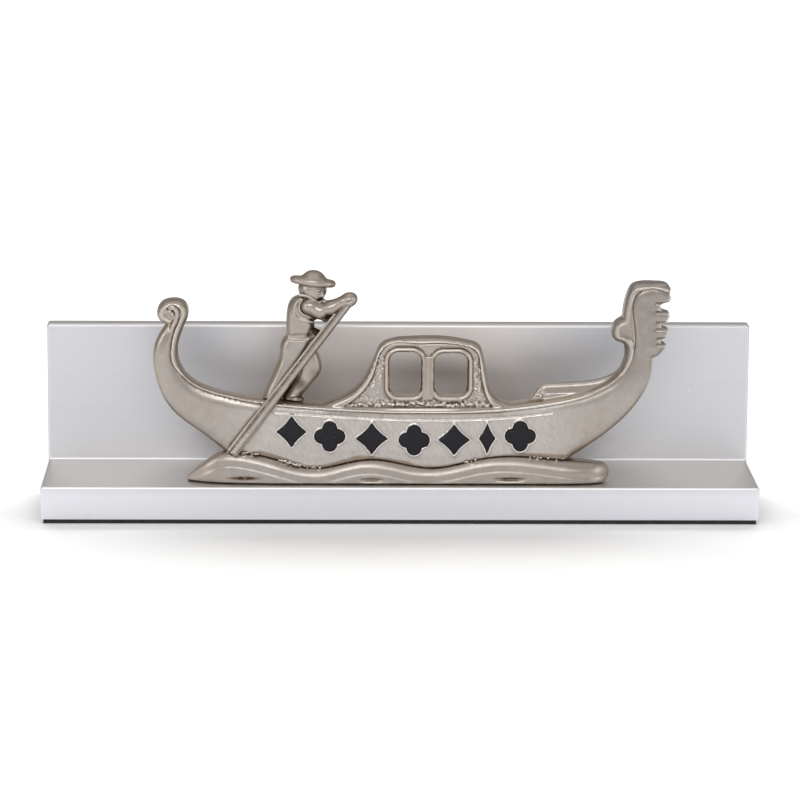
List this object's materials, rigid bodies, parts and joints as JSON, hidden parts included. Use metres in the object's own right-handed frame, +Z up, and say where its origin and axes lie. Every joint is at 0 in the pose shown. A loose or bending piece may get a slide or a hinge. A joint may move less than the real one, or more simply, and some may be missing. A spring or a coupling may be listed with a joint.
{
  "type": "gondola souvenir desk holder",
  "caption": "Aluminium desk holder with a foot, a tread and an upright back plate, and a cast nickel-plated rowing boat with its rower standing on a wave in front.",
  "frame": {"origin": "middle of the footprint, on the surface the holder stands on", "axes": "+Z up, X along the holder's length, front (the side the boat stands on) towards -Y"},
  "size_m": [0.2, 0.041, 0.0708],
  "materials": {
    "anodised": "satin anodised, faint length-wise die lines",
    "strip": "matt foam rubber",
    "nickel_wave": "nickel plate, warm grey, tarnished in the hollows",
    "nickel_boat": "nickel plate, warm grey, side brushed",
    "nickel_rower": "nickel plate, warm grey, tarnished in the folds",
    "nickel_oar": "nickel plate, warm grey, polished edges",
    "enamel": "black stove enamel, grainy",
    "steel": "zinc plated"
  },
  "bodies": {
    "root": {"base_profile": "anodised", "foot_pad": "strip", "wave_base": "nickel_wave", "hull": "nickel_boat", "gondolier": "nickel_rower", "oar": "nickel_oar", "enamel_inlay_1": "enamel", "enamel_inlay_2": "enamel", "enamel_inlay_3": "enamel", "enamel_inlay_4": "enamel", "enamel_inlay_5": "enamel", "enamel_inlay_6": "enamel", "enamel_inlay_7": "enamel", "fixing_screws": "steel", "screw_washers": "steel"}
  },
  "joints": []
}
